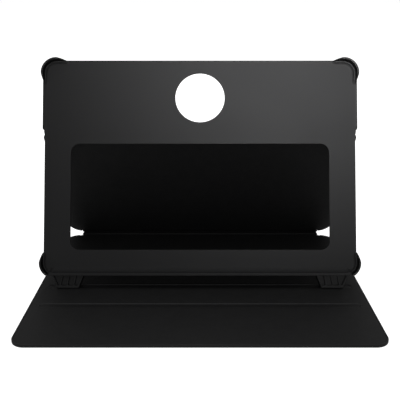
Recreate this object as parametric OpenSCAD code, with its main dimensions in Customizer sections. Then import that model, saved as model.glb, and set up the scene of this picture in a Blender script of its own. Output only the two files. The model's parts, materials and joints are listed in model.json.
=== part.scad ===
// Folio stand case for a tablet, standing open on its own front cover.
// An open tray with rubber corners and feet is bonded to a back panel. A
// kickstand hangs from that panel on a hinge, and a narrow spine strip joins
// the kickstand to the front cover, which lies flat under the feet.
// X is the width, -Y is the front and +Z is up. The origin is on the ground
// under the middle of the case.

/* [Tray] */
// Width of the tray plate
tray_w = 266; // [250:1:272]
// Height of the tray plate, along its slope
tray_h = 182.8; // [176:0.1:184]
// Thickness of the tray plate
plate_t = 2.2; // [1.8:0.1:2.6]
// Radius of the plate's corners
tray_r = 10.5; // [9:0.5:12]
// How far the bottom lip stands out in front of the plate
lip_h = 7; // [6:0.5:9]
// Thickness of the bottom lip
lip_t = 2.3; // [1.2:0.1:3]
// Radius of the fillet between the lip and the plate
fillet_r = 5.4; // [4:0.1:5.4]
// Lean of the tray from the vertical, in degrees
lean = 21.2; // [18:0.1:26]

/* [Window and camera hole] */
// Width of the window
window_w = 221; // [200:1:230]
// Height of the window's lower edge above the tray's bottom
window_low = 21.3; // [18:0.1:30]
// Height of the window's upper edge above the tray's bottom
window_high = 111.9; // [90:0.1:114]
// Radius of the window's corners
window_r = 7.5; // [4:0.5:12]
// Height of the camera hole's centre above the tray's bottom
hole_v = 151.7; // [150:0.1:154]
// Radius of the camera hole
hole_r = 21.2; // [16:0.1:22]

/* [Corner bumpers] */
// Thickness of a bumper's wall
bumper_t = 2.4; // [2:0.1:2.8]
// Length of each of a bumper's two tapering legs
bumper_leg = 8.5; // [5:0.5:12]

/* [Feet] */
// Distance of each foot's middle from the tray's middle
foot_x = 111; // [90:0.1:112]
// Width of a foot where it meets the tray
foot_top_w = 26.2; // [25:0.1:28]
// Width of a foot at its base
foot_base_w = 19.6; // [19:0.1:22]
// How far a foot's front edge reaches below the tray
foot_drop = 10.8; // [9:0.1:12]
// How far a foot's front face is in front of the plate's front face
foot_front = 5.5; // [4.5:0.1:6.5]
// Distance of the feet's front edge from the cover's front edge
foot_reach = 84.8; // [83:0.1:88]

/* [Panels] */
// Width of the cover, the kickstand and the back panel
panel_w = 271.5; // [270:0.5:276]
// Thickness of the cover, the spine and the kickstand
panel_t = 2.4; // [2.4:0.1:2.8]
// Thickness of the outer skin
skin_t = 0.6; // [0.5:0.1:0.7]
// Thickness of the stiffener boards in the cover, the spine and the kickstand
board_t = 1.1; // [0.9:0.1:1.1]
// Thickness of the inner lining
lining_t = 0.6; // [0.5:0.1:0.6]
// Width of the turned edge around each panel
hem_w = 1.2; // [1:0.1:1.6]
// Depth of the cover from its front edge to the spine's crease
cover_d = 203.5; // [200:0.5:210]
// Radius of the cover's front corners
front_r = 11; // [6:0.5:14]
// Radius of the panel corners next to the spine
spine_r = 15; // [10:0.5:18]
// Height of the back panel's top edge above the tray's bottom
back_top = 184.6; // [184.2:0.1:186]

/* [Folds] */
// Length of the spine strip
spine_len = 242.5; // [230:0.5:250]
// Width of the spine strip's board
spine_w = 5.4; // [5:0.1:8]
// Half the width of the crease between the cover and the spine
cover_crease = 1.9; // [1.5:0.1:3]
// Half the width of the crease between the spine and the kickstand
spine_crease = 2.8; // [2.8:0.1:4]
// Height of the kickstand's hinge line above the tray's bottom
hinge_v = 121.5; // [118:0.1:123]
// Half the width of the kickstand's hinge
hinge_crease = 2.5; // [2.2:0.1:2.6]

/* [Grooves] */
// Distance of the front groove from the cover's front edge
groove_front = 56.6; // [50:0.1:62]
// Distance of the rear groove from the cover's front edge
groove_rear = 89.6; // [86:0.1:96]
// Length of each groove
groove_len = 255.8; // [240:0.1:260]
// Width of each groove
groove_w = 6.2; // [3:0.1:8]
// Depth of each groove
groove_d = 0.5; // [0.2:0.05:0.5]

/* [Magnets] */
// Radius of the disc magnets that hold the feet in place
hold_r = 4; // [3:0.5:5]
// Radius of the rod magnet in each foot
foot_magnet_r = 1.8; // [1.5:0.1:1.8]

/* [Hidden] */
$fn = 96;

clearance = 0.1;        // around boards and linings inside a turned edge
foot_gap = 0.15;        // between the feet and the cover
closed_gap = 0.3;       // between the folded kickstand and the tray
spine_fold_z = 1;       // height of the spine's rear fold line
tongue_gap = 0.4;       // between a skin's free edge and its fold line
tongue_t = 1.1;         // skin and lining bonded together in a crease
hinge_inset = 1.2;      // how much shorter the hinge is than the panel, each end

adhesive_t = 0.2;
adhesive_inset = 6;
back_t = 1.9;
back_r = 12;
hinge_r = 2;
back_hole_r = hole_r + 1.3;

corner_rim_h = 2.6;
corner_rim_t = 1.2;
corner_fillet_r = 2.2;
corner_rim_run = 5;
bumper_seat = bumper_t - 1.6;   // between the plate's corner and the bumper's inner wall

rib_t = 1.2;
slot_depth = 2;
slot_floor = 2.6;
slot_round = 0.85;
foot_round = 3;
foot_trim = 0.4;        // extra length that the level cut under the foot takes off
foot_magnet_len = 4;
foot_magnet_w = 0.2;    // the rod's axis, in front of the plate's front face
rib_pitch = 5.6;
rib_shift = -1;         // the middle rib at the top, from the foot's middle
rib_slant = 1.5;        // how far the ribs move outwards on the way down
foot_ribs_top = [
    (rib_t - foot_top_w) / 2, rib_shift - rib_pitch, rib_shift, rib_shift + rib_pitch,
    (foot_top_w - rib_t) / 2
];
foot_ribs_base = [
    (rib_t - foot_base_w) / 2, rib_shift + rib_slant - rib_pitch, rib_shift + rib_slant,
    rib_shift + rib_slant + rib_pitch, (foot_base_w - rib_t) / 2
];

hold_t = 0.8;
clasp_len = 24;
clasp_w = 6;
clasp_x = 60;
clasp_inset = 12;

foot_back = -plate_t;
hinge_w = spine_fold_z - plate_t - closed_gap - panel_t;
spine_front_g = cover_d + 2 * cover_crease;
spine_fold_g = spine_front_g + spine_w + spine_crease;
tray_g = foot_reach + foot_drop * sin(lean) + foot_front * cos(lean);
tray_z = panel_t + foot_gap + foot_drop * cos(lean) - foot_front * sin(lean);
hinge_g = tray_g + hinge_v * sin(lean) - hinge_w * cos(lean);
hinge_z = tray_z + hinge_v * cos(lean) + hinge_w * sin(lean);
stand_angle = atan2(hinge_z - spine_fold_z, spine_fold_g - hinge_g);
kick_len = norm([hinge_z - spine_fold_z, spine_fold_g - hinge_g]);
case_d = spine_fold_g + spine_fold_z * sin(stand_angle) - tongue_gap * cos(stand_angle);
hold_g = [groove_front - groove_w / 2 - hold_r - 1.5, groove_rear - groove_w / 2 - hold_r - 1.5];

// The ground frame: Y counts from the cover's front edge.
module on_ground() {
    translate([0, -case_d / 2, 0]) children();
}

// The tray's frame: Y runs up the plate, Z stands out of its front face.
module in_tray() {
    on_ground() translate([0, tray_g, tray_z]) rotate([90 - lean, 0, 0]) children();
}

// The kickstand's frame: Y runs from the spine's fold up to the hinge, and Z
// stands out of its lined face.
module in_kickstand() {
    on_ground() translate([0, spine_fold_g, spine_fold_z]) rotate([180 - stand_angle, 0, 0])
        translate([0, 0, -spine_fold_z]) children();
}

// A flat outline with one corner radius at its low end and one at its high end.
module outline(width, low, high, r_low, r_high) {
    translate([-width / 2, low + r_low]) square([width, high - low - r_low - r_high]);
    translate([-width / 2 + r_low, low]) square([width - 2 * r_low, r_low + 0.01]);
    translate([-width / 2 + r_high, high - r_high - 0.01]) square([width - 2 * r_high, r_high + 0.01]);
    for (side = [-1, 1]) {
        translate([side * (width / 2 - r_low), low + r_low]) circle(r_low);
        translate([side * (width / 2 - r_high), high - r_high]) circle(r_high);
    }
}

// The same outline, smaller by inset all round.
module inset_outline(width, low, high, r_low, r_high, inset) {
    outline(width - 2 * inset, low + inset, high - inset, r_low - inset, r_high - inset);
}

// An outer skin with its edge turned up all round a shallow pocket.
module turned_skin(width, low, high, r_low, r_high, thickness) {
    difference() {
        linear_extrude(thickness) outline(width, low, high, r_low, r_high);
        translate([0, 0, skin_t]) linear_extrude(thickness)
            inset_outline(width, low, high, r_low, r_high, hem_w);
    }
}

// A flat layer that fits inside the turned edge.
module inner_layer(width, low, high, r_low, r_high, base, thickness) {
    translate([0, 0, base]) linear_extrude(thickness)
        inset_outline(width, low, high, r_low, r_high, hem_w + clearance);
}

// The bare strip of skin and lining that reaches into a crease.
module tongue(length, low, high, thickness) {
    translate([-length / 2, low, 0]) cube([length, high - low, thickness]);
}

// ---- Tray ----

module lip_profile() {
    translate([0, -plate_t]) square([lip_t, plate_t + lip_h]);
    difference() {
        square([lip_t + fillet_r, fillet_r]);
        translate([lip_t + fillet_r, fillet_r]) circle(fillet_r);
    }
}

// The low upturned rim of a plate corner, from the plate's edge inwards.
module corner_rim_profile() {
    reach = corner_rim_t + corner_fillet_r;
    difference() {
        square([reach, corner_rim_h]);
        translate([reach, corner_fillet_r]) circle(corner_fillet_r);
        translate([corner_rim_t, corner_fillet_r]) square([corner_fillet_r + 1, corner_rim_h]);
    }
}

module corner_rim() {
    rotate_extrude(angle = 90) translate([tray_r, 0]) mirror([1, 0]) corner_rim_profile();
    translate([tray_r, 0.01, 0]) rotate([90, 0, 0]) linear_extrude(corner_rim_run)
        mirror([1, 0]) corner_rim_profile();
    translate([-corner_rim_run, tray_r, 0]) rotate([90, 0, 90]) linear_extrude(corner_rim_run + 0.01)
        mirror([1, 0]) corner_rim_profile();
}

// Puts its child at a plate corner: side is -1 or 1, level is 0 (bottom) or 1.
module at_corner(side, level) {
    translate([side * (tray_w / 2 - tray_r), level == 1 ? tray_h - tray_r : tray_r, 0])
        mirror([side < 0 ? 1 : 0, 0, 0]) mirror([0, level == 0 ? 1 : 0, 0]) children();
}

// The end of the bottom lip, which runs on past the plate's corner to the
// inner face of the bumper's wall.
module lip_end(grow) {
    intersection() {
        translate([-0.01 - grow, tray_r - lip_t - grow, -plate_t - grow])
            cube([tray_r, lip_t + grow, plate_t + lip_h + 2 * grow]);
        translate([0, 0, -plate_t - grow])
            cylinder(r = tray_r + bumper_seat + grow, h = plate_t + lip_h + 2 * grow);
    }
}

module tray_shell() {
    color([0.2, 0.2, 0.21]) in_tray() difference() {
        union() {
            translate([0, 0, -plate_t]) linear_extrude(plate_t)
                outline(tray_w, 0, tray_h, tray_r, tray_r);
            translate([-tray_w / 2 + tray_r, 0, 0]) rotate([90, 0, 90])
                linear_extrude(tray_w - 2 * tray_r) lip_profile();
            for (side = [-1, 1], level = [0, 1]) at_corner(side, level) corner_rim();
            for (side = [-1, 1]) at_corner(side, 0) lip_end(0);
        }
        translate([0, 0, -plate_t - 1]) linear_extrude(plate_t + 2)
            outline(window_w, window_low, window_high, window_r, window_r);
        translate([0, hole_v, -plate_t - 1]) cylinder(r = hole_r, h = plate_t + 2);
    }
}

// The bumper's wall: radius from the corner's centre, then height.
module bumper_profile() {
    outer = tray_r + bumper_t;
    polygon([
        [tray_r, -plate_t], [outer - 0.4, -plate_t], [outer, -plate_t + 0.4],
        [outer, lip_h - 0.6], [outer - 0.6, lip_h], [outer - 1.6, lip_h],
        [outer - 1.9, lip_h - 0.3], [outer - 1.6, lip_h - 1.2],
        [tray_r + bumper_seat, bumper_seat], [tray_r, 0]
    ]);
}

// A leg of the bumper along one edge, ramping down to the plate.
module bumper_leg_wall() {
    rotate([90, 0, 0]) linear_extrude(bumper_t) polygon([
        [0, -plate_t], [0, lip_h - 0.3], [bumper_leg * 0.35, lip_h * 0.75],
        [bumper_leg, 0], [bumper_leg, -plate_t]
    ]);
}

module bumper_corner() {
    rotate_extrude(angle = 90) bumper_profile();
    translate([tray_r + bumper_t, 0.01, 0]) rotate([0, 0, -90]) bumper_leg_wall();
}

module top_bumper(side) {
    color([0.07, 0.07, 0.07]) in_tray() at_corner(side, 1) {
        bumper_corner();
        translate([0.01, tray_r + bumper_t, 0]) mirror([1, 0, 0]) bumper_leg_wall();
    }
}

// A bottom bumper stops flush with the tray's lower edge, against the lip's end.
module bottom_bumper(side) {
    color([0.07, 0.07, 0.07]) in_tray() at_corner(side, 0) difference() {
        bumper_corner();
        translate([-1, tray_r, -plate_t - 1]) cube([2 * tray_r, tray_r, 2 * lip_h]);
        lip_end(0.02);
    }
}

module foot_outline() {
    corner_v = foot_round - foot_drop - foot_trim;
    corner_x = foot_base_w / 2 - foot_round;
    polygon(concat(
        [[-foot_top_w / 2, 0], [foot_top_w / 2, 0]],
        [for (a = [0 : -15 : -90]) [corner_x + foot_round * cos(a), corner_v + foot_round * sin(a)]],
        [for (a = [-90 : -15 : -180]) [foot_round * cos(a) - corner_x, corner_v + foot_round * sin(a)]]
    ));
}

// A slot between two neighbouring ribs, open at the top with round lower corners.
module foot_slot(i) {
    left = [foot_ribs_top[i] + rib_t / 2, foot_ribs_base[i] + rib_t / 2];
    right = [foot_ribs_top[i + 1] - rib_t / 2, foot_ribs_base[i + 1] - rib_t / 2];
    low_x = [left[1] + slot_round, right[1] - slot_round];
    low_v = slot_floor + slot_round - foot_drop;
    polygon(concat(
        [[right[0], 0.1], [left[0], 0.1]],
        [for (a = [180 : 15 : 270]) [low_x[0] + slot_round * cos(a), low_v + slot_round * sin(a)]],
        [for (a = [270 : 15 : 360]) [low_x[1] + slot_round * cos(a), low_v + slot_round * sin(a)]]
    ));
}

// Places its child on a foot's centre line, mirrored so that +X is outwards.
module at_foot(side) {
    translate([side * foot_x, 0, 0]) mirror([side < 0 ? 1 : 0, 0, 0]) children();
}

// An upright cylinder in the foot's middle, from a height down.
module foot_magnet_shape(r, top, length) {
    translate([0, top, foot_magnet_w]) rotate([90, 0, 0])
        cylinder(r = r, h = length);
}

module foot(side) {
    color([0.1, 0.1, 0.1]) difference() {
        in_tray() at_foot(side) difference() {
            translate([0, 0, foot_back]) linear_extrude(foot_front - foot_back) foot_outline();
            for (i = [0 : len(foot_ribs_top) - 2])
                translate([0, 0, foot_front - slot_depth]) linear_extrude(slot_depth + 1)
                    foot_slot(i);
            foot_magnet_shape(foot_magnet_r + 0.05, 0.1, foot_magnet_len + 0.4);
        }
        translate([-tray_w, -case_d, -tray_h])
            cube([2 * tray_w, 2 * case_d, tray_h + panel_t + foot_gap]);
    }
}

module foot_magnet(side) {
    color("silver") in_tray() at_foot(side)
        foot_magnet_shape(foot_magnet_r, -0.1, foot_magnet_len);
}

// ---- Back panel ----

module in_back_panel() {
    in_tray() translate([0, 0, -plate_t - adhesive_t - back_t]) children();
}

module back_panel_adhesive() {
    color("white") in_tray() translate([0, 0, -plate_t - adhesive_t]) linear_extrude(adhesive_t)
        difference() {
            inset_outline(tray_w, hinge_v + hinge_crease, tray_h, hinge_r + adhesive_inset,
                back_r, adhesive_inset);
            translate([0, hole_v]) circle(back_hole_r + 2);
        }
}

module back_panel_board() {
    color("tan") in_back_panel() difference() {
        inner_layer(panel_w, hinge_v + hinge_crease, back_top, hinge_r, back_r,
            skin_t, back_t - skin_t - 0.05);
        translate([0, hole_v, 0]) cylinder(r = back_hole_r + hem_w + clearance, h = back_t + 1);
    }
}

module back_panel_skin() {
    color([0.12, 0.12, 0.12]) in_back_panel() {
        difference() {
            turned_skin(panel_w, hinge_v + hinge_crease, back_top, hinge_r, back_r, back_t);
            translate([0, hole_v, -1]) cylinder(r = back_hole_r + hem_w - 0.01, h = back_t + 2);
        }
        translate([0, hole_v, 0]) difference() {
            cylinder(r = back_hole_r + hem_w, h = back_t);
            translate([0, 0, -1]) cylinder(r = back_hole_r, h = back_t + 2);
        }
        tongue(panel_w - 2 * hinge_inset, hinge_v + tongue_gap, hinge_v + hinge_crease + 0.01, skin_t);
    }
}

// ---- Kickstand ----

module kickstand_skin() {
    color([0.12, 0.12, 0.12]) in_kickstand() {
        turned_skin(panel_w, spine_crease, kick_len - hinge_crease, spine_r, hinge_r, panel_t);
        tongue(spine_len, tongue_gap, spine_crease + 0.01, tongue_t);
        tongue(panel_w - 2 * hinge_inset, kick_len - hinge_crease - 0.01,
            kick_len - tongue_gap, tongue_t);
    }
}

module kickstand_board() {
    color("tan") in_kickstand()
        inner_layer(panel_w, spine_crease, kick_len - hinge_crease, spine_r, hinge_r,
            skin_t, board_t);
}

module kickstand_lining() {
    color([0.06, 0.06, 0.06]) in_kickstand()
        inner_layer(panel_w, spine_crease, kick_len - hinge_crease, spine_r, hinge_r,
            skin_t + board_t, lining_t);
}

// ---- Spine ----

module spine_skin() {
    color([0.12, 0.12, 0.12]) on_ground() {
        translate([-spine_len / 2, spine_front_g, 0]) cube([spine_len, spine_w, skin_t]);
        for (side = [-1, 1]) translate([side * (spine_len - hem_w) / 2 - hem_w / 2, spine_front_g, 0])
            cube([hem_w, spine_w, panel_t]);
        tongue(spine_len, cover_d + cover_crease + tongue_gap, spine_front_g + 0.01, tongue_t);
        tongue(spine_len, spine_front_g + spine_w - 0.01, spine_fold_g - tongue_gap, tongue_t);
    }
}

// A spine layer between the turned ends of the spine's skin.
module spine_layer(base, thickness) {
    length = spine_len - 2 * (hem_w + clearance);
    on_ground() translate([-length / 2, spine_front_g + clearance, base])
        cube([length, spine_w - 2 * clearance, thickness]);
}

module spine_board() {
    color("tan") spine_layer(skin_t, board_t);
}

module spine_lining() {
    color([0.06, 0.06, 0.06]) spine_layer(skin_t + board_t, lining_t);
}

// ---- Front cover ----

module cover_skin() {
    color([0.12, 0.12, 0.12]) on_ground() {
        turned_skin(panel_w, 0, cover_d, front_r, spine_r, panel_t);
        tongue(spine_len, cover_d - 0.01, cover_d + cover_crease - tongue_gap, tongue_t);
    }
}

// One of the cover's boards, between two distances from the front edge.
module cover_board(low, high, magnets) {
    color("tan") on_ground() difference() {
        intersection() {
            inner_layer(panel_w, 0, cover_d, front_r, spine_r, skin_t, board_t);
            translate([-panel_w / 2, low, 0]) cube([panel_w, high - low, panel_t]);
        }
        for (g = magnets, side = [-1, 1]) translate([side * foot_x, g, 0])
            cylinder(r = hold_r + clearance, h = panel_t);
        if (low < clasp_inset) clasp_bars(clearance, 2 * panel_t);
    }
}

module cover_board_front() {
    cover_board(0, groove_front - groove_w / 2, [hold_g[0]]);
}

module cover_board_middle() {
    cover_board(groove_front + groove_w / 2, groove_rear - groove_w / 2, [hold_g[1]]);
}

module cover_board_rear() {
    cover_board(groove_rear + groove_w / 2, cover_d, []);
}

module groove(g) {
    half = (groove_len - groove_w) / 2;
    translate([0, g, skin_t + board_t + lining_t - groove_d]) {
        translate([-half, -groove_w / 2, 0]) cube([2 * half, groove_w, groove_d + 1]);
        for (side = [-1, 1]) translate([side * half, 0, 0])
            cylinder(r = groove_w / 2, h = groove_d + 1);
    }
}

module cover_lining() {
    color([0.06, 0.06, 0.06]) on_ground() difference() {
        inner_layer(panel_w, 0, cover_d, front_r, spine_r, skin_t + board_t, lining_t);
        for (g = [groove_front, groove_rear]) groove(g);
    }
}

module hold_magnets() {
    color("silver") on_ground() for (g = hold_g, side = [-1, 1])
        translate([side * foot_x, g, skin_t + 0.1]) cylinder(r = hold_r, h = hold_t);
}

module clasp_bars(grow, height) {
    for (side = [-1, 1])
        translate([side * clasp_x - clasp_len / 2 - grow, clasp_inset - clasp_w / 2 - grow, 0])
            cube([clasp_len + 2 * grow, clasp_w + 2 * grow, height]);
}

module clasp_magnets() {
    color("silver") on_ground() translate([0, 0, skin_t + 0.1]) clasp_bars(0, hold_t);
}

tray_shell();
top_bumper(-1);  // bumper_top_left
top_bumper(1);  // bumper_top_right
bottom_bumper(-1);  // bumper_bottom_left
bottom_bumper(1);  // bumper_bottom_right
foot(-1);  // foot_left
foot(1);  // foot_right
foot_magnet(-1);  // foot_magnet_left
foot_magnet(1);  // foot_magnet_right
back_panel_adhesive();
back_panel_board();
back_panel_skin();
kickstand_skin();
kickstand_board();
kickstand_lining();
spine_skin();
spine_board();
spine_lining();
cover_skin();
cover_board_front();
cover_board_middle();
cover_board_rear();
cover_lining();
hold_magnets();
clasp_magnets();
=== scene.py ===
"""Tablet folio stand case: the looks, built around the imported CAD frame.

Every piece is made in a flat local frame in millimetres (X across, Y along the panel, Z out of
its face) and is then placed by one matrix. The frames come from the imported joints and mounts.
"""
import json
import math

import bmesh
import bpy
from mathutils import Matrix, Vector


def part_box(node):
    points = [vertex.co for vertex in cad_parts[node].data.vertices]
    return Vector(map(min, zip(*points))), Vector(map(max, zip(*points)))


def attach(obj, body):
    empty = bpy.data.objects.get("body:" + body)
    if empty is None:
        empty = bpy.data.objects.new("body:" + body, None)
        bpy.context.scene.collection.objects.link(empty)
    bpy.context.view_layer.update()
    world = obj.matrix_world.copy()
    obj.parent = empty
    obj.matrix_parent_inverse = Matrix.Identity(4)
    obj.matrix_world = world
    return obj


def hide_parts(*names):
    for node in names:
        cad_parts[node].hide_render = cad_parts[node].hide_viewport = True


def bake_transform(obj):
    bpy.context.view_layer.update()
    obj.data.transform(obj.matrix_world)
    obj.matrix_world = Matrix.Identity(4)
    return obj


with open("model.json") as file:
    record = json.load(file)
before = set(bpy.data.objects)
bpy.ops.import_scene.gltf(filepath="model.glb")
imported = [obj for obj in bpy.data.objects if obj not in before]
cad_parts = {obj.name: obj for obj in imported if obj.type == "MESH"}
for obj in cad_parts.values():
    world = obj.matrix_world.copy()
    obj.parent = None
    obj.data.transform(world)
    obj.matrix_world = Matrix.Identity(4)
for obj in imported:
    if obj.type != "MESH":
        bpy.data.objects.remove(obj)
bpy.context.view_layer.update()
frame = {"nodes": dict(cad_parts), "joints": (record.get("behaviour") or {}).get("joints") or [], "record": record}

MM = 0.001

# ---- Sizes in millimetres, as in the CAD source where it has them ----

# The tray: its plate, bottom lip, corner rims that fade out past each corner, and openings.
TRAY_W, TRAY_H, TRAY_R, PLATE_T = 266.0, 182.8, 10.5, 2.2
LIP_H, LIP_T, FILLET_R = 7.0, 2.3, 5.4
RIM_H, RIM_T, RIM_FILLET_R, RIM_RUN, RIM_FADE = 2.6, 1.2, 2.2, 5.0, 5.0
LIP_END, LIP_FADE = 22, 20  # degrees round the corner from the bottom edge
EDGE_R, BACK_EDGE_R, LEAST_RIM, EDGE_BAND = 0.25, 0.4, 0.04, 9.2
WINDOW_W, WINDOW_LOW, WINDOW_HIGH, WINDOW_R = 221.0, 21.3, 111.9, 7.5
HOLE_V, HOLE_R, BACK_HOLE_R = 151.7, 21.2, 22.5

# The bumpers. BUMPER_SEAT is from the plate's corner to a bumper's inner wall. A leg ends with
# the last two shares of the section's thickness and height.
BUMPER_T, BUMPER_LEG, BUMPER_SEAT, SEAT_GAP = 2.4, 8.5, 0.8, 0.03
LEG_END_T, LEG_END_H = 0.25, 0.04
BUMPER_LOW_START = 66.5  # degrees, where a bottom bumper meets the tray's lower edge

# The feet: their block, the slots between the ribs, and the blunted toe.
FOOT_X, FOOT_TOP_W, FOOT_BASE_W, FOOT_DROP = 111.0, 26.2, 19.6, 10.8
FOOT_FRONT, FOOT_ROUND, FOOT_SLOT_DEPTH, FOOT_SLOT_FLOOR = 5.5, 3.0, 2.0, 2.6
RIB_T, RIB_PITCH, RIB_SHIFT, RIB_SLANT, SLOT_ROUND = 1.2, 5.6, -1.0, 1.5, 0.85
FOOT_TOE, FOOT_EDGE_R, FOOT_SPARE = 0.7, 0.22, 0.4

# The panels: heights of the sheets in section, the radii of a turned edge and its hem, the
# height and radius of a skin's edge where it runs on into a crease, and how fast it gets there.
PANEL_W, PANEL_T, SKIN_T, LINING_TOP, HEM_W = 271.5, 2.4, 0.6, 2.3, 1.2
LINING_LOW, LINING_GAP, LINING_LIFT = 1.7, 0.05, 0.06
TURN_LOW_R, TURN_TOP_R, HEM_R, OPEN_TOP, OPEN_R, OPEN_FADE = 0.3, 0.45, 0.12, 0.65, 0.04, 0.2

# Each panel's length and corners, and the folds between them.
COVER_D, FRONT_R, SPINE_R = 203.5, 11.0, 15.0
BACK_T, BACK_R, BACK_TOP, BACK_GAP, BACK_HOLE_ROUND = 1.9, 12.0, 184.6, 0.2, 0.5
HINGE_R, HINGE_V, HINGE_CREASE, HINGE_INSET = 2.0, 121.5, 2.5, 1.2
SPINE_LEN, SPINE_W, SPINE_CREASE, COVER_CREASE, CREASE_T = 242.5, 5.4, 2.8, 1.9, 1.1
FOLD_Z, CREASE_FLARE = 1.0, 1.6
FOLD_LINING, HINGE_LINING = (0.78, 0.36), (0.85, 0.5)  # a crease lining's middle and thickness

# The pressed grooves: distances from the cover's front edge, and their section.
GROOVE_FRONT, GROOVE_REAR, GROOVE_LEN, GROOVE_W, GROOVE_D = 56.6, 89.6, 255.8, 6.2, 0.5


# ---- Frames ----

def local_frame(origin, along):
    """Matrix from local millimetres to the row frame: Y runs along, Z out of the face."""
    across = Vector((1, 0, 0))
    along = Vector(along).normalized()
    out = across.cross(along)
    turn = Matrix((across, along, out)).transposed().to_4x4()
    return Matrix.Translation(origin) @ turn @ Matrix.Scale(MM, 4)


PIVOT = {j["name"]: Vector(j["pos_m"]) for j in frame["joints"]}
CAMERA_HOLE = next(m for m in frame["record"]["mounts"] if m["name"] == "camera_hole")

tray_out = Vector(CAMERA_HOLE["axis"]).normalized()
tray_up = tray_out.cross(Vector((1, 0, 0)))
tray_origin = Vector(CAMERA_HOLE["pos_m"]) + (tray_out * PLATE_T / 2 - tray_up * HOLE_V) * MM

stand_along = PIVOT["tray_hinge"] - PIVOT["stand_fold"]
KICK_LEN = stand_along.length / MM
stand_out = Vector((1, 0, 0)).cross(stand_along.normalized())

GROUND = local_frame((0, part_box("cover_skin")[0].y, 0), (0, 1, 0))
TRAY = local_frame(tray_origin, tray_up)
BACK = TRAY @ Matrix.Translation((0, 0, -PLATE_T - BACK_GAP - BACK_T))
KICK = local_frame(PIVOT["stand_fold"] - stand_out * FOLD_Z * MM, stand_along)

SPINE_FRONT = COVER_D + 2 * COVER_CREASE
SPINE_BACK = SPINE_FRONT + SPINE_W
SPINE_FOLD = SPINE_BACK + SPINE_CREASE


# ---- Mesh tools ----

def smooth(x):
    """0 below 0, 1 above 1, and a smooth step between."""
    x = min(1.0, max(0.0, x))
    return x * x * (3 - 2 * x)


class Station:
    """A point on an outline: its place, its outward normal, how far it is past the nearest
    corner's arc (0 within the arc), and its turn from that corner's first edge, 0 to 1."""

    def __init__(self, place, normal, run, turn):
        self.place, self.normal, self.run, self.turn = Vector(place), Vector(normal), run, turn

    def at(self, inset, z):
        """The point that far inside the outline, at height z."""
        p = self.place - self.normal * inset
        return Vector((p.x, p.y, z))


def rounded_outline(width, low, high, r_low, r_high, steps=12, runs=()):
    """Stations round a rounded rectangle, counter-clockwise from its low right corner. runs are
    distances from the arcs at which the straight edges get more stations."""
    half = width / 2
    corners = [
        (half - r_low, low + r_low, r_low), (half - r_high, high - r_high, r_high),
        (r_high - half, high - r_high, r_high), (r_low - half, low + r_low, r_low),
    ]
    stations = []
    for i, (x, y, r) in enumerate(corners):
        start = math.radians(90 * i - 90)
        for k in range(steps + 1):
            a = start + math.pi / 2 * k / steps
            normal = Vector((math.cos(a), math.sin(a)))
            place = Vector((x, y)) + normal * r
            ahead = Vector((-math.sin(a), math.cos(a)))
            if k == 0:
                stations += [Station(place - ahead * d, normal, d, 0) for d in reversed(runs)]
            stations.append(Station(place, normal, 0, k / steps))
            if k == steps:
                stations += [Station(place + ahead * d, normal, d, 1) for d in runs]
    return stations


def ring(bm, points):
    return [bm.verts.new(p) for p in points]


def skin_rings(bm, rings, closed=True):
    """Quads between each ring and the next. closed joins each ring's ends."""
    for lower, upper in zip(rings, rings[1:]):
        n = len(lower)
        for i in range(n if closed else n - 1):
            j = (i + 1) % n
            corners = (lower[i], lower[j], upper[j], upper[i])
            if len(set(corners)) == 4:
                bm.faces.new(corners)


def sweep(bm, stations, profile):
    """Rings round the stations: profile(station) gives its (inset, z) points in order. A
    profile's flat steps at its ends keep the shading of the faces filled in later flat."""
    columns = [[s.at(*point) for point in profile(s)] for s in stations]
    rings = [ring(bm, row) for row in zip(*columns)]
    skin_rings(bm, rings)
    return rings


def loop_edges(bm, loop):
    edges = []
    for a, b in zip(loop, loop[1:] + loop[:1]):
        edges.append(bm.edges.get((a, b)) or bm.edges.new((a, b)))
    return edges


def fill_flat(bm, loops):
    """A flat face inside the first loop, with the other loops as its holes."""
    if len(loops) == 1:
        bm.faces.new(loops[0])
        return
    edges = [e for loop in loops for e in loop_edges(bm, loop)]
    bmesh.ops.triangle_fill(bm, use_beauty=True, use_dissolve=False, edges=edges)


def arc(centre, radius, start, end, steps):
    """Points on an arc, in degrees."""
    turns = [math.radians(start + (end - start) * k / steps) for k in range(steps + 1)]
    return [(centre[0] + radius * math.cos(a), centre[1] + radius * math.sin(a)) for a in turns]


def finish_mesh(bm, name, place, material, sharp=40):
    """Turns the local mesh into an object in the row frame, smooth but for its sharp edges."""
    bmesh.ops.recalc_face_normals(bm, faces=bm.faces)
    mesh = bpy.data.meshes.new(name)
    bm.to_mesh(mesh)
    bm.free()
    mesh.transform(place)
    mesh.update()
    mesh.polygons.foreach_set("use_smooth", [True] * len(mesh.polygons))
    mesh.set_sharp_from_angle(angle=math.radians(sharp))
    mesh.materials.append(material)
    obj = bpy.data.objects.new(name, mesh)
    bpy.context.scene.collection.objects.link(obj)
    return obj


def piece(bm, name, place, material, body, node, sharp=40):
    """A finished piece that rides on one body and replaces one CAD node."""
    obj = finish_mesh(bm, name, place, material, sharp)
    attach(obj, body)
    if body == "tray":
        TRAY_PIECES.objects.link(obj)
    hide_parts(node)
    return obj


# ---- Materials ----

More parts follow.
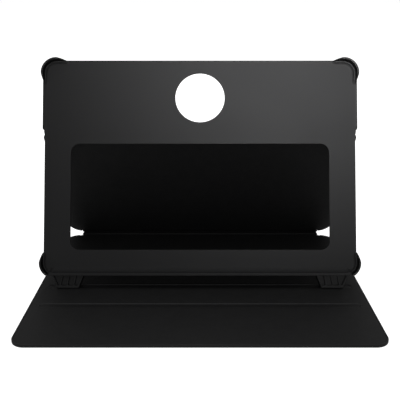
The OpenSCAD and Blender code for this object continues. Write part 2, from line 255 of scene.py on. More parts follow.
class Nodes:
    """A material's node tree, with short names for the nodes that this script uses."""

    def __init__(self, name, colour, roughness, specular=0.5, **sockets):
        self.material = bpy.data.materials.new(name)
        self.material.use_nodes = True
        self.tree = self.material.node_tree
        self.shader = self.tree.nodes["Principled BSDF"]
        self.set(self.shader, **{"Base Color": (*colour, 1), "Roughness": roughness,
                                 "Specular IOR Level": specular})
        self.set(self.shader, **{key.replace("_", " "): value for key, value in sockets.items()})
        self.place = self.tree.nodes.new("ShaderNodeTexCoord").outputs["Object"]

    def set(self, node, **sockets):
        for key, value in sockets.items():
            node.inputs[key].default_value = value

    def add(self, kind, **sockets):
        node = self.tree.nodes.new(kind)
        for key, value in sockets.items():
            name = key.replace("_", " ")
            if isinstance(value, bpy.types.NodeSocket):
                self.tree.links.new(value, node.inputs[name])
            else:
                node.inputs[name].default_value = value
        return node

    def noise(self, size, detail=2.0, roughness=0.5, distortion=0.0):
        """Noise with features of about that size in millimetres, from 0 to 1."""
        node = self.add("ShaderNodeTexNoise", Vector=self.place, Scale=1 / (size * MM),
                        Detail=detail, Roughness=roughness, Distortion=distortion)
        return node.outputs["Fac"]

    def cells(self, size, feature="F1", smoothness=None):
        """Voronoi cells of about that size in millimetres."""
        node = self.tree.nodes.new("ShaderNodeTexVoronoi")
        node.feature = feature
        self.tree.links.new(self.place, node.inputs["Vector"])
        node.inputs["Scale"].default_value = 1 / (size * MM)
        if smoothness is not None:
            node.inputs["Smoothness"].default_value = smoothness
        return node.outputs["Distance"]

    def map(self, value, low, high, out_low, out_high):
        node = self.add("ShaderNodeMapRange", Value=value)
        self.set(node, **{"From Min": low, "From Max": high,
                          "To Min": out_low, "To Max": out_high})
        return node.outputs["Result"]

    def colours(self, value, *stops):
        """A colour ramp: stops are (position, colour)."""
        node = self.tree.nodes.new("ShaderNodeValToRGB")
        self.tree.links.new(value, node.inputs["Fac"])
        ramp = node.color_ramp.elements
        while len(ramp) < len(stops):
            ramp.new(0.5)
        for element, (position, colour) in zip(ramp, stops):
            element.position = position
            element.color = (*colour, 1)
        return node.outputs["Color"]

    def bump(self, height, strength, distance, under=None):
        """A bump of that depth in millimetres, on top of another bump if one is given."""
        node = self.add("ShaderNodeBump", Height=height, Strength=strength,
                        Distance=distance * MM)
        if under is not None:
            self.tree.links.new(under, node.inputs["Normal"])
        return node.outputs["Normal"]

    def link(self, socket, value):
        self.tree.links.new(value, self.shader.inputs[socket])


def grey(level):
    return (level, level, level * 1.03)


def tray_plastic():
    """Moulded matte polycarbonate: a fine spark-eroded texture and very faint flow marks."""
    m = Nodes("tray_plastic", grey(0.019), 0.66, specular=0.22)
    broad, fine = m.noise(28, 3), m.noise(0.32, 3, 0.6)
    m.link("Base Color", m.colours(broad, (0.3, grey(0.018)), (0.7, grey(0.02))))
    m.link("Roughness", m.map(broad, 0.3, 0.7, 0.63, 0.69))
    m.link("Normal", m.bump(fine, 0.35, 0.03))
    return m.material


def bumper_rubber():
    """Satin moulded rubber."""
    m = Nodes("bumper_rubber", grey(0.0075), 0.42, specular=0.3)
    broad, fine = m.noise(5, 3), m.noise(0.25, 2)
    m.link("Base Color", m.colours(broad, (0.3, grey(0.0066)), (0.7, grey(0.0084))))
    m.link("Roughness", m.map(broad, 0.3, 0.7, 0.38, 0.5))
    m.link("Normal", m.bump(fine, 0.25, 0.02))
    return m.material


def foot_rubber():
    """Matte moulded rubber with a slightly chalky bloom."""
    m = Nodes("foot_rubber", grey(0.0107), 0.6, specular=0.25)
    broad, fine = m.noise(4, 4), m.noise(0.3, 2)
    m.link("Base Color", m.colours(broad, (0.3, grey(0.009)), (0.7, grey(0.0123))))
    m.link("Roughness", m.map(broad, 0.3, 0.7, 0.55, 0.66))
    m.link("Normal", m.bump(fine, 0.3, 0.03))
    return m.material


def outer_leather():
    """Fine-grained black synthetic leather: small rounded pebbles in shallow creases."""
    m = Nodes("outer_leather", grey(0.0113), 0.48, specular=0.3)
    grain, pores, broad = m.cells(0.85, "SMOOTH_F1", 0.35), m.noise(0.3, 2), m.noise(22, 3)
    m.link("Base Color", m.colours(grain, (0.15, grey(0.015)), (0.75, grey(0.0088))))
    m.link("Roughness", m.map(broad, 0.3, 0.7, 0.43, 0.53))
    low = m.bump(pores, 0.2, 0.02)
    m.link("Normal", m.bump(m.map(grain, 0.1, 0.8, 1, 0), 0.6, 0.06, low))
    return m.material


def lining_fabric(name, tone, roughness):
    """Brushed black microfibre: a short matte nap that lies in soft patches. tone scales its colour; the grooves'
    copies use it for painted shade on their floors and a painted highlight on their walls."""
    m = Nodes(name, grey(0.0106 * tone), roughness, specular=0.3)
    fibre = m.noise(0.5, 5, 0.75, 0.6)
    nap = m.noise(2.4, 4, 0.7, 1.2)
    patch = m.noise(9, 4, 0.6)
    speck = m.noise(1.4, 2)
    tones = m.map(fibre, 0.25, 0.75, 0, 0.3)
    for value, share in ((nap, 0.45), (patch, 0.25)):
        both = m.add("ShaderNodeMath", Value=tones)
        both.operation = "ADD"
        m.tree.links.new(m.map(value, 0.3, 0.7, 0, share), both.inputs[1])
        tones = both.outputs[0]
    m.link("Base Color", m.colours(tones, (0.1, grey(0.006 * tone)), (0.9, grey(0.0152 * tone))))
    low = m.bump(speck, 0.25, 0.06)
    m.link("Normal", m.bump(fibre, 0.6, 0.08, low))
    return m.material


def stiffener_board():
    """Grey-brown pressed fibreboard."""
    m = Nodes("stiffener_board", (0.28, 0.24, 0.19), 0.85)
    flecks = m.noise(1.5, 4, 0.7)
    m.link("Base Color", m.colours(flecks, (0.3, (0.22, 0.18, 0.14)), (0.7, (0.34, 0.3, 0.24))))
    m.link("Normal", m.bump(flecks, 0.4, 0.05))
    return m.material


def adhesive_sheet():
    """Milky double-sided tape."""
    m = Nodes("adhesive_sheet", (0.7, 0.7, 0.68), 0.5)
    wave = m.noise(3, 3)
    m.link("Base Color", m.colours(wave, (0.3, (0.62, 0.62, 0.6)), (0.7, (0.76, 0.76, 0.74))))
    m.link("Normal", m.bump(wave, 0.3, 0.05))
    return m.material


def magnet_metal():
    """Bright nickel plate with fine tumbling marks."""
    m = Nodes("magnet_metal", (0.6, 0.6, 0.62), 0.22, Metallic=1.0)
    marks = m.noise(0.6, 4, 0.7)
    m.link("Roughness", m.map(marks, 0.3, 0.7, 0.16, 0.3))
    m.link("Normal", m.bump(marks, 0.2, 0.01))
    return m.material


TRAY_PLASTIC = tray_plastic()
BUMPER_RUBBER = bumper_rubber()
FOOT_RUBBER = foot_rubber()
LEATHER = outer_leather()
LINING = lining_fabric("lining_fabric", 1.0, 0.62)
# Shaded and lit copies of the lining for the grooves: painted shade on their floors, a painted highlight on their
# walls.
GROOVE_SHADE_LINING = lining_fabric("groove_shade_lining", 0.68, 0.55)
GROOVE_HIGHLIGHT_LINING = lining_fabric("groove_highlight_lining", 2.0, 0.5)

# The tray's pieces, which the key light is kept to.
TRAY_PIECES = bpy.data.collections.new("tray_pieces")


# ---- Tray ----

def from_bottom(station):
    """The station's angle from the tray's bottom edge, in degrees: 0 along the edge."""
    return math.degrees(math.acos(max(-1.0, min(1.0, -station.normal.y))))


def tray_edge_profile(station):
    """The tray's rim in section: the tall bottom lip, the low corner rims, or a plain edge."""
    turn = from_bottom(station)
    lip = 1 - smooth((turn - LIP_END) / LIP_FADE)
    rim = 1 - smooth((station.run - RIM_RUN) / RIM_FADE)
    height = max(LEAST_RIM, LIP_H * lip + RIM_H * rim * (1 - lip))
    wall = RIM_T + (LIP_T - RIM_T) * lip
    # Past the plate's corner the lip runs straight on, out to the bumper's inner wall.
    grow = 0.0
    if 0 < turn < 60:
        reach = min(TRAY_R / math.cos(math.radians(turn)), TRAY_R + BUMPER_SEAT - SEAT_GAP)
        grow = (reach - TRAY_R) * lip
    edge = min(EDGE_R, height / 3)
    top = height - edge
    radius = RIM_FILLET_R + (FILLET_R - RIM_FILLET_R) * lip
    start = math.degrees(math.asin(max(0.0, 1 - top / radius)))
    centre = wall + radius * math.cos(math.radians(start))
    fillet = arc((centre, radius), radius, 180 + start, 270, 9)
    back = [(1.6, -PLATE_T), (1.0, -PLATE_T)]
    back += arc((BACK_EDGE_R - grow, BACK_EDGE_R - PLATE_T), BACK_EDGE_R, 270, 180, 3)
    crest = arc((edge - grow, top), edge, 180, 90, 4) + arc((wall - edge, top), edge, 90, 0, 4)
    return back + crest + fillet + [(centre + 0.5, 0), (EDGE_BAND, 0)]


# Round an opening in the plate: inset is negative into the plate, from the front to the back.
OPENING_EDGE = (
    [(-1.2, 0.0), (-0.5, 0.0)] + arc((-0.2, -0.2), 0.2, 90, 0, 4)
    + arc((-BACK_EDGE_R, BACK_EDGE_R - PLATE_T), BACK_EDGE_R, 0, -90, 3) + [(-0.9, -PLATE_T)]
)


def tray_shell():
    """The moulded tray: its rim all round, and the plate with the window and camera hole."""
    runs = (2, 4, 5, 6, 7, 8, 9, 10, 12)
    bm = bmesh.new()
    rim = sweep(bm, rounded_outline(TRAY_W, 0, TRAY_H, TRAY_R, TRAY_R, 18, runs),
                tray_edge_profile)
    window = rounded_outline(WINDOW_W, WINDOW_LOW, WINDOW_HIGH, WINDOW_R, WINDOW_R, 14)
    hole = rounded_outline(2 * HOLE_R, HOLE_V - HOLE_R, HOLE_V + HOLE_R, HOLE_R, HOLE_R, 28)
    openings = [sweep(bm, window, lambda s: OPENING_EDGE),
                sweep(bm, drop_repeats(hole), lambda s: OPENING_EDGE)]
    fill_flat(bm, [rim[-1]] + [rings[0] for rings in openings])
    fill_flat(bm, [rim[0]] + [rings[-1] for rings in openings])
    return piece(bm, "tray_moulding", TRAY, TRAY_PLASTIC, "tray", "tray_shell")


def drop_repeats(stations):
    """The stations without those that lie on the one before, as on a full circle."""
    return [s for i, s in enumerate(stations)
            if (s.place - stations[i - 1].place).length > 1e-6]


# ---- Bumpers ----

def bumper_section(share):
    """A bumper's closed section as (outward, height) points. share is 1 on the corner and
    falls to 0 at a leg's end, where the wall is thin and low."""
    thick = LEG_END_T + (1 - LEG_END_T) * share
    tall = LEG_END_H + (1 - LEG_END_H) * share
    wall = [
        (0, -PLATE_T), (2.0, -PLATE_T), (2.28, 0.12 - PLATE_T), (BUMPER_T, 0.4 - PLATE_T),
        (BUMPER_T, 2.0), (BUMPER_T, 5.9), (2.33, 6.45), (2.1, 6.83), (1.75, LIP_H),
        (1.15, LIP_H), (0.78, 6.86), (0.58, 6.55), (0.6, 6.15), (0.76, 5.75), (0.8, 5.2),
        (0.8, 1.6), (0.72, 0.8), (0, 0.1),
    ]
    return [(out * thick, up * tall if up > 0 else up) for out, up in wall]


def leg_share(distance):
    """How much of the section is left that far down a leg."""
    return 1 - (distance / BUMPER_LEG) ** 1.5


def bumper_stations(level):
    """(place, normal, share of the section) round a corner. A top bumper (level 1) starts with
    its leg along the top edge, and a bottom one (level 0) starts within the arc."""
    out = []
    leg_steps, arc_steps = 10, 22
    if level:
        for k in range(leg_steps, 0, -1):
            d = BUMPER_LEG * k / leg_steps
            out.append((Vector((-d, TRAY_R)), Vector((0, 1)), leg_share(d)))
    start = 90 if level else BUMPER_LOW_START
    for k in range(arc_steps + 1):
        a = math.radians(start * (1 - k / arc_steps))
        normal = Vector((math.cos(a), math.sin(a)))
        out.append((normal * TRAY_R, normal, 1.0))
    for k in range(1, leg_steps + 1):
        d = BUMPER_LEG * k / leg_steps
        out.append((Vector((TRAY_R, -d)), Vector((1, 0)), leg_share(d)))
    return out


def bumper(side, level):
    """One corner bumper, made as the right one and mirrored by side. A bottom one stops flush
    with the tray's lower edge."""
    bm = bmesh.new()
    rings = []
    for place, normal, share in bumper_stations(level):
        points = []
        for out, up in bumper_section(share):
            p = place + normal * out
            if level == 0 and p.y > TRAY_R:
                p *= TRAY_R / p.y
            points.append(Vector((p.x, p.y, up)))
        rings.append(ring(bm, points))
    skin_rings(bm, rings)
    for end in (rings[0], rings[-1]):
        bm.faces.new(end)
    flip = Matrix.Diagonal((side, 1 if level else -1, 1, 1))
    centre = (side * (TRAY_W / 2 - TRAY_R), TRAY_H - TRAY_R if level else TRAY_R, 0)
    bmesh.ops.transform(bm, matrix=Matrix.Translation(centre) @ flip, verts=bm.verts)
    where = ("top" if level else "bottom") + ("_right" if side > 0 else "_left")
    return piece(bm, f"corner_bumper_{where}", TRAY, BUMPER_RUBBER, "tray",
                 f"bumper_{where}", sharp=50)


# ---- Feet ----

def foot_slots():
    """The four slots between the foot's ribs, open at the top. Points run counter-clockwise for
    a right foot, with X outwards."""
    ribs = [RIB_SHIFT + RIB_PITCH * k for k in (-1, 0, 1)]
    top = [(RIB_T - FOOT_TOP_W) / 2, *ribs, (FOOT_TOP_W - RIB_T) / 2]
    base = [(RIB_T - FOOT_BASE_W) / 2, *[x + RIB_SLANT for x in ribs], (FOOT_BASE_W - RIB_T) / 2]
    half, low = RIB_T / 2, FOOT_SLOT_FLOOR + SLOT_ROUND - FOOT_DROP
    slots = []
    for i in range(len(ribs) + 1):
        left, right = base[i] + half + SLOT_ROUND, base[i + 1] - half - SLOT_ROUND
        slots.append([(top[i] + half, 0.0)] + arc((left, low), SLOT_ROUND, 180, 270, 5)
                     + arc((right, low), SLOT_ROUND, 270, 360, 5)
                     + [(top[i + 1] - half, 0.0)])
    return slots


def foot_base_outline():
    """The foot's outline, from its top left round the bottom to its top right. It goes a little
    too low, as the base is cut level later."""
    low, half = FOOT_ROUND - FOOT_DROP - FOOT_SPARE, FOOT_BASE_W / 2 - FOOT_ROUND
    return ([(-FOOT_TOP_W / 2, 0.0)] + arc((-half, low), FOOT_ROUND, 180, 270, 6)
            + arc((half, low), FOOT_ROUND, 270, 360, 6) + [(FOOT_TOP_W / 2, 0.0)])


def foot(side):
    """A ribbed foot: a solid back with a comb of ribs in front, cut level at its base."""
    bm = bmesh.new()
    outline, slots = foot_base_outline(), [slot[::-1] for slot in reversed(foot_slots())]
    rim = outline + [p for slot in slots for p in (slot[0], slot[-1])]
    slot_z = FOOT_FRONT - FOOT_SLOT_DEPTH
    back = ring(bm, [(x, y, -PLATE_T) for x, y in rim])
    middle = ring(bm, [(x, y, slot_z) for x, y in rim])
    skin_rings(bm, [back, middle])
    bm.faces.new(back)
    comb = middle[:len(outline)]
    for k, slot in enumerate(slots):
        first = len(outline) + 2 * k
        floor = [middle[first]] + ring(bm, [(x, y, slot_z) for x, y in slot[1:-1]])
        floor.append(middle[first + 1])
        bm.faces.new(floor)
        comb += floor
    front = ring(bm, [(v.co.x, v.co.y, FOOT_FRONT) for v in comb])
    skin_rings(bm, [comb, front])
    bm.faces.new(front)
    bmesh.ops.transform(bm, matrix=Matrix.Translation((side * FOOT_X, 0, 0))
                        @ Matrix.Diagonal((side, 1, 1, 1)), verts=bm.verts)
    # The level base and the blunted toe, as planes in the tray's own frame.
    base = TRAY.inverted() @ Vector((0, 0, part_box("foot_left")[0].z))
    level = (TRAY.inverted().to_3x3() @ Vector((0, 0, 1))).normalized()
    toe = (level + Vector((0, 0, -1))).normalized()
    toe_point = Vector((0, -FOOT_DROP, FOOT_FRONT)) + level * FOOT_TOE
    for point, normal in ((base, level), (toe_point, toe)):
        cut = bmesh.ops.bisect_plane(bm, geom=bm.verts[:] + bm.edges[:] + bm.faces[:],
                                     plane_co=point, plane_no=-normal, clear_outer=True)
        edges = [e for e in cut["geom_cut"] if isinstance(e, bmesh.types.BMEdge)]
        bmesh.ops.contextual_create(bm, geom=edges)
    where = "right" if side > 0 else "left"
    obj = piece(bm, f"ribbed_foot_{where}", TRAY, FOOT_RUBBER, "tray",
                f"foot_{where}", sharp=35)
    bevel = obj.modifiers.new("soft_edges", "BEVEL")
    bevel.width, bevel.segments = FOOT_EDGE_R * MM, 2
    bevel.limit_method, bevel.angle_limit = "ANGLE", math.radians(40)


# ---- Panels of the case ----

def open_share(station, open_low, open_high):
    """1 where the edge runs on into a crease, 0 where it is turned, and between the two over
    the first few degrees of the corner's arc."""
    turned = abs(station.normal.x)
    if station.normal.y < -0.5 and open_low or station.normal.y > 0.5 and open_high:
        return 1 - smooth(turned / OPEN_FADE)
    return 0.0


def skin_profile(thick, open_low, open_high):
    """An outer skin in section: the outer face, a rounded turned edge and the hem over it. At
    an open edge only the skin's own thickness is left."""
    def profile(station):
        share = open_share(station, open_low, open_high)
        top = thick + (OPEN_TOP - thick) * share
        low_r = TURN_LOW_R + (OPEN_R - TURN_LOW_R) * share
        high_r = min(TURN_TOP_R, (top - 0.1) / 2)
        return (
            [(1.5, 0.0), (0.8, 0.0)] + arc((low_r, low_r), low_r, 270, 180, 5)
            + arc((high_r, top - high_r), high_r, 180, 90, 5)
            + [(HEM_W - HEM_R, top), (HEM_W - HEM_R / 4, top - HEM_R / 4), (HEM_W, top - HEM_R),
               (HEM_W, SKIN_T)]
        )
    return profile


def outer_skin(name, place, low, high, r_low, r_high, body, node, open_low=False,
               open_high=False):
    """A panel's outer skin with its turned edge."""
    bm = bmesh.new()
    stations = rounded_outline(PANEL_W, low, high, r_low, r_high, 16)
    rings = sweep(bm, stations, skin_profile(PANEL_T, open_low, open_high))
    fill_flat(bm, [rings[0]])
    fill_flat(bm, [rings[-1]])
    return piece(bm, name, place, LEATHER, body, node)


# A lining's edge in section, as (inwards, height): tucked behind the hem, and rolled down into a
# crease.
TUCKED = [(0.75, LINING_TOP), (0.3, LINING_TOP), (0.1, 2.24), (0.02, 2.1), (0, 1.95),
          (0, LINING_LOW)]
ROLLED = [(1.9, LINING_TOP), (1.0, LINING_TOP), (0.5, 2.25), (0.18, 2.1), (0.03, 1.85),
          (0, CREASE_T)]


def lining_profile(open_low, open_high):
    """A lining in section: rolled at its open edges, and tucked at the others."""
    def profile(station):
        share = open_share(station, open_low, open_high)
        edge = (HEM_W + LINING_GAP) * (1 - share)
        low = LINING_LOW + (SKIN_T + LINING_LIFT - LINING_LOW) * share
        points = []
        for (t_in, t_z), (r_in, r_z) in zip(TUCKED, ROLLED):
            points.append((edge + t_in * (1 - share) + r_in * share,
                           t_z * (1 - share) + r_z * share))
        return points + [(edge, low), (edge + 0.6, low)]
    return profile


# A groove in section, from the surface to its floor: (outwards from its edge, depth share).
GROOVE_SIDE = [(1.0, 0.0), (0.3, 0.0), (0.08, 0.04), (-0.05, 0.15), (-0.35, 0.8), (-0.47, 0.96),
               (-0.75, 1.0), (-1.3, 1.0)]
# Each of its bands and then its floor: 0 is the lining, 1 its painted shade, 2 its painted highlight.
GROOVE_LOOKS = (0, 2, 2, 2, 2, 1, 1, 1)


def groove(bm, g):
    """A pressed groove with round ends, that far from the front edge. Returns its outer ring."""
    half_w = GROOVE_W / 2
    outline = rounded_outline(GROOVE_LEN, g - half_w, g + half_w, half_w, half_w, 12)
    stations = drop_repeats(outline)
    rings = sweep(bm, stations, lambda s: [(-out, LINING_TOP - GROOVE_D * depth)
                                           for out, depth in GROOVE_SIDE])
    fill_flat(bm, [rings[-1]])
    bm.faces.ensure_lookup_table()
    count = len(stations)
    for i, face in enumerate(bm.faces[-1 - count * (len(GROOVE_SIDE) - 1):]):
        face.material_index = GROOVE_LOOKS[i // count]
    return rings[0]


def inner_lining(name, place, low, high, r_low, r_high, body, node, open_low=False,
                 open_high=False, grooves=()):
    """A panel's lining, with any pressed grooves."""
    bm = bmesh.new()
    stations = rounded_outline(PANEL_W, low, high, r_low, r_high, 16)
    rings = sweep(bm, stations, lining_profile(open_low, open_high))
    fill_flat(bm, [rings[0]] + [groove(bm, g) for g in grooves])
    fill_flat(bm, [rings[-1]])
    obj = piece(bm, name, place, LINING, body, node)
    # The grooves' painted shade and painted highlight copies of the lining.
    if grooves:
        for look in (GROOVE_SHADE_LINING, GROOVE_HIGHLIGHT_LINING):
            obj.data.materials.append(look)
    return obj


def back_panel():
    """The back panel's skin, turned at its edges and at its round hole. Its face to the tray is
    closed, as the tray covers it."""
    bm = bmesh.new()
    stations = rounded_outline(PANEL_W, HINGE_V + HINGE_CREASE, BACK_TOP, HINGE_R, BACK_R, 16)
    turned = skin_profile(BACK_T, open_low=True, open_high=False)

    def profile(station):
        return turned(station)[:-4] + [(HEM_W, BACK_T), (1.6, BACK_T)]

    rings = sweep(bm, stations, profile)
    rim = drop_repeats(rounded_outline(2 * BACK_HOLE_R, HOLE_V - BACK_HOLE_R,
                                       HOLE_V + BACK_HOLE_R, BACK_HOLE_R, BACK_HOLE_R, 24))
    r = BACK_HOLE_ROUND
    section = ([(-1.6, 0.0), (-1.0, 0.0)] + arc((-r, r), r, 270, 360, 4)
               + arc((-r, BACK_T - r), r, 0, 90, 4) + [(-1.0, BACK_T), (-1.6, BACK_T)])
    hole = sweep(bm, rim, lambda s: section)
    fill_flat(bm, [rings[0], hole[0]])
    fill_flat(bm, [rings[-1], hole[-1]])
    return piece(bm, "back_panel_leather", BACK, LEATHER, "tray",
                 "back_panel_skin")


# ---- Spine and creases ----

def strip(bm, length, curve, thick, flare):
    """A strip of one thickness. curve is its middle in section: (y, z) points. It is closed
    round both faces, its long edges and its ends. Its ends flare out by flare at the curve's
    start and finish, where it runs into a wider panel."""
    normals = []
    for i, (y, z) in enumerate(curve):
        before, after = curve[max(0, i - 1)], curve[min(len(curve) - 1, i + 1)]
        along = Vector((after[0] - before[0], after[1] - before[1])).normalized()
        normals.append(Vector((-along.y, along.x)))
    half, last = thick / 2, len(curve) - 1
    reach = [length / 2 + flare[0] * (1 - k / last) ** 2 + flare[1] * (k / last) ** 2
             for k in range(last + 1)]
    section = [(r, y - n.x * half, z - n.y * half) for r, (y, z), n in zip(reach, curve, normals)]
    section += [(r, y + n.x * half, z + n.y * half)
                for r, (y, z), n in zip(reach, curve, normals)][::-1]
    rings = [ring(bm, [(side * r, y, z) for r, y, z in section]) for side in (-1, 1)]
    skin_rings(bm, rings)
    for end in rings:
        for i in range(last):
            bm.faces.new((end[i], end[i + 1], end[-i - 2], end[-i - 1]))


def spine_skin():
    """The spine's outer skin, with its ends turned up and rounded."""
    bm = bmesh.new()
    end, low_r, high_r = -SPINE_LEN / 2, 0.55, 0.5
    outline = ([(end + 1.6, 0.0), (end + low_r, 0.0)]
               + arc((end + low_r, low_r), low_r, 270, 180, 5)
               + arc((end + high_r, PANEL_T - high_r), high_r, 180, 90, 5)
               + [(end + HEM_W, PANEL_T), (end + HEM_W, SKIN_T)])
    section = outline + [(-x, z) for x, z in reversed(outline)]
    rings = [ring(bm, [(x, y, z) for x, z in section]) for y in (SPINE_FRONT, SPINE_BACK)]
    skin_rings(bm, rings)
    for end in rings:
        bmesh.ops.triangle_fill(bm, use_beauty=True, edges=loop_edges(bm, end))
    return piece(bm, "spine_leather", GROUND, LEATHER, "spine", "spine_skin")


def spine_lining():
    """The spine's lining: a low crowned bar that rolls down into both creases."""
    half = SPINE_LEN / 2 - HEM_W - LINING_GAP
    section = [(0.0, SKIN_T + LINING_LIFT)] + ROLLED[:0:-1]
    section += [(SPINE_W - y, z) for y, z in reversed(section)]
    bm = bmesh.new()
    rings = [ring(bm, [(x, SPINE_FRONT + y, z) for y, z in section]) for x in (-half, half)]
    skin_rings(bm, rings)
    for end in rings:
        bm.faces.new(end)
    return piece(bm, "spine_microfibre", GROUND, LINING, "spine",
                 "spine_lining")


def crease(name, length, curve, thick, material, flare):
    """A strip across a fold, curved along its section and set in the ground frame."""
    bm = bmesh.new()
    strip(bm, length, curve, thick, flare)
    obj = finish_mesh(bm, name, GROUND, material, sharp=60)
    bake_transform(obj)
    return obj


def cover_curve(z):
    """From the cover's rear edge to the spine's front edge, at that height."""
    steps = 10
    return [(COVER_D + (SPINE_FRONT - COVER_D) * k / steps, z) for k in range(steps + 1)]


def kick_on_ground(y, z):
    """A point of the kickstand's section in the ground frame's section."""
    p = GROUND.inverted() @ KICK @ Vector((0, y, z))
    return (p.y, p.z)


def fold_curve(z):
    """From the spine's rear edge round the fold to the kickstand's lower edge, at that height
    above the outer faces."""
    turn = 180 - math.degrees(math.atan2(stand_along.z, -stand_along.y))
    radius = FOLD_Z - z
    path = [(SPINE_BACK, z)] + arc((SPINE_FOLD, FOLD_Z), radius, -90, turn - 90, 14)
    return path + [kick_on_ground(SPINE_CREASE, z)]


def hinge_curve(z):
    """From the kickstand's upper edge to the back panel's lower edge, as a smooth curve at that
    height above both outer faces."""
    def back_on_ground(v):
        p = GROUND.inverted() @ BACK @ Vector((0, v, z))
        return Vector((p.y, p.z))

    stand_end, back_end = KICK_LEN - HINGE_CREASE, HINGE_V + HINGE_CREASE
    a, b = Vector(kick_on_ground(stand_end, z)), back_on_ground(back_end)
    pull = (b - a).length
    out_a = (a - Vector(kick_on_ground(stand_end - 1, z))) * pull
    out_b = (back_on_ground(back_end + 1) - b) * pull
    points, steps = [], 12
    for k in range(steps + 1):
        t = k / steps
        p = (a * (2 * t**3 - 3 * t**2 + 1) + out_a * (t**3 - 2 * t**2 + t)
             + b * (3 * t**2 - 2 * t**3) + out_b * (t**3 - t**2))
        points.append((p.x, p.y))
    return points


def creases():
    """The strips across the folds: cover to spine, spine to kickstand, kickstand to back panel. Each fold has a
    strip of leather and one of microfibre inside it."""
    leather_middle = SKIN_T / 2
    fold, hinge = fold_curve(leather_middle), hinge_curve(leather_middle)
    cover_lining = ((SKIN_T + CREASE_T) / 2, CREASE_T - SKIN_T)
    made = []
    for name, bodies, curve, ends, lining, length, flare in (
        ("cover", ("front_cover", "spine"), cover_curve, ((COVER_D, 0), (SPINE_FRONT, 0)),
         cover_lining, SPINE_LEN, (CREASE_FLARE, 0)),
        ("spine", ("spine", "kickstand"), fold_curve, (fold[1], fold[-2]),
         FOLD_LINING, SPINE_LEN, (0, CREASE_FLARE)),
        ("hinge", ("kickstand", "tray"), hinge_curve, (hinge[0], hinge[-1]),
         HINGE_LINING, PANEL_W - 2 * HINGE_INSET, (0, 0)),
    ):
        for sheet, (middle, thick), material, slot in (
            ("leather", (leather_middle, SKIN_T), LEATHER, "outer_skin"),
            ("microfibre", lining, LINING, "inner_lining"),
        ):
            made.append(crease(f"{name}_crease_{sheet}", length, curve(middle), thick, material,
                               flare))
    return made


# ---- The whole case ----

def build_case():
    """Every piece that replaces a CAD node."""
    tray_shell()
    for side in (-1, 1):
        foot(side)
        for level in (0, 1):
            bumper(side, level)

    stand = (SPINE_CREASE, KICK_LEN - HINGE_CREASE, SPINE_R, HINGE_R, "kickstand")
    cover = (0, COVER_D, FRONT_R, SPINE_R, "front_cover")
    skins = [
        outer_skin("cover_leather", GROUND, *cover, "cover_skin", open_high=True),
        outer_skin("kickstand_leather", KICK, *stand, "kickstand_skin", open_low=True,
                   open_high=True),
        back_panel(),
    ]
    linings = [
        inner_lining("cover_microfibre", GROUND, *cover, "cover_lining", open_high=True,
                     grooves=(GROOVE_FRONT, GROOVE_REAR)),
        inner_lining("kickstand_microfibre", KICK, *stand, "kickstand_lining", open_low=True,
                     open_high=True),
    ]
    strips = [spine_skin(), spine_lining()] + creases()


def dress_hidden_parts():
    """The boards, the tape and the magnets stay as packed, with materials of their own."""
    board, tape, metal = stiffener_board(), adhesive_sheet(), magnet_metal()
    for name, node in frame["nodes"].items():
        if node.hide_render:
            continue
        looks = board if "board" in name else metal if "magnet" in name else tape
        node.data.materials.clear()
        node.data.materials.append(looks)


# ---- Stage, light and camera, in metres, watts and degrees ----

FLOOR_HALF, FLOOR_DROP = 40.0, 0.0002
CAMERA_PLACE, CAMERA_TILT, CAMERA_LENS = (0, -0.4672, 0.2339), 19, 53.1
KEY_SPREAD = 46

# Each soft box: name, place, the point that it is aimed at, size, power.
KEY = ("key", (0.06, -0.5, 0.36), (0.088, 0.06, 0.242), 0.16, 0.46)
SOFT_BOXES = (
    ("top", (0, -0.6, 1.3), (0, 0, 0.05), 1.2, 1.4),
    ("over", (0, 0.6, 1.2), (0, 0, 0.05), 0.9, 2.5),
    ("fill", (0, -1.2, 0.3), (0, 0.05, 0.1), 0.8, 2),
    ("back", (0, 1.3, 0.9), (0, 0.1, 0.08), 0.8, 2),
)


def build_stage():
    """A wide sheet of white paper, just below the case."""
    mesh = bpy.data.meshes.new("floor")
    half = FLOOR_HALF
    corners = [(-half, -half, 0), (half, -half, 0), (half, half, 0), (-half, half, 0)]
    mesh.from_pydata([Vector(c) for c in corners], [], [(0, 1, 2, 3)])
    floor = bpy.data.objects.new("floor", mesh)
    floor.location.z = -FLOOR_DROP
    paper = bpy.data.materials.new("paper")
    paper.use_nodes = True
    shader = paper.node_tree.nodes["Principled BSDF"]
    shader.inputs["Base Color"].default_value = (0.9, 0.9, 0.9, 1)
    shader.inputs["Roughness"].default_value = 0.9
    shader.inputs["Specular IOR Level"].default_value = 0.1
    shader.inputs["Emission Color"].default_value = (1, 1, 1, 1)
    # The paper burns out to white in the picture, without lighting the case from below.
    rays = paper.node_tree.nodes.new("ShaderNodeLightPath")
    paper.node_tree.links.new(rays.outputs["Is Camera Ray"], shader.inputs["Emission Strength"])
    mesh.materials.append(paper)
    bpy.context.scene.collection.objects.link(floor)


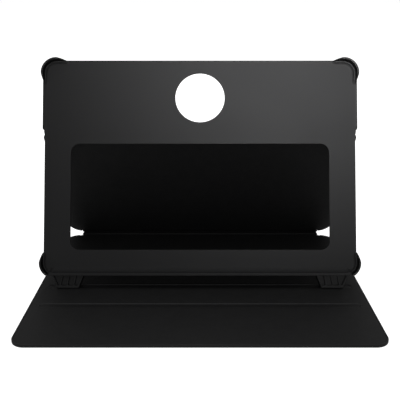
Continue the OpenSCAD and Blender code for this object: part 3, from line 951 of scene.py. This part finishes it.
def area_light(name, place, target, size, power, spread=180, only_tray=False):
    """A round soft box. only_tray keeps its light off everything but the tray."""
    light = bpy.data.lights.new(name, "AREA")
    light.shape, light.size, light.energy = "DISK", size, power
    light.spread = math.radians(spread)
    obj = bpy.data.objects.new(name, light)
    obj.location = place
    obj.visible_camera = False
    aim = Vector(target) - Vector(place)
    obj.rotation_mode = "QUATERNION"
    obj.rotation_quaternion = aim.to_track_quat("-Z", "Y")
    bpy.context.scene.collection.objects.link(obj)
    if only_tray:
        obj.light_linking.receiver_collection = TRAY_PIECES


def build_light():
    """A white backdrop for the camera, and soft boxes in front, above and behind."""
    world = bpy.data.worlds.new("studio")
    world.use_nodes = True
    tree = world.node_tree
    light, output = tree.nodes["Background"], tree.nodes["World Output"]
    light.inputs["Color"].default_value = (1, 1, 1, 1)
    light.inputs["Strength"].default_value = 0.25
    backdrop = tree.nodes.new("ShaderNodeBackground")
    backdrop.inputs["Color"].default_value = (1, 1, 1, 1)
    rays, mix = tree.nodes.new("ShaderNodeLightPath"), tree.nodes.new("ShaderNodeMixShader")
    tree.links.new(rays.outputs["Is Camera Ray"], mix.inputs[0])
    tree.links.new(light.outputs[0], mix.inputs[1])
    tree.links.new(backdrop.outputs[0], mix.inputs[2])
    tree.links.new(mix.outputs[0], output.inputs["Surface"])
    bpy.context.scene.world = world
    bpy.context.scene.view_settings.view_transform = "Standard"
    area_light(*KEY, spread=KEY_SPREAD, only_tray=True)
    for soft_box in SOFT_BOXES:
        area_light(*soft_box)


def build_camera():
    """The camera in front of the case, looking down by its tilt."""
    data = bpy.data.cameras.new("camera")
    data.sensor_width, data.lens = 36.0, CAMERA_LENS
    data.clip_start, data.clip_end = 0.01, 20
    camera = bpy.data.objects.new("camera", data)
    camera.location = CAMERA_PLACE
    camera.rotation_euler = (math.radians(90 - CAMERA_TILT), 0, 0)
    bpy.context.scene.collection.objects.link(camera)
    bpy.context.scene.camera = camera


build_camera()
build_case()
dress_hidden_parts()
build_stage()
build_light()
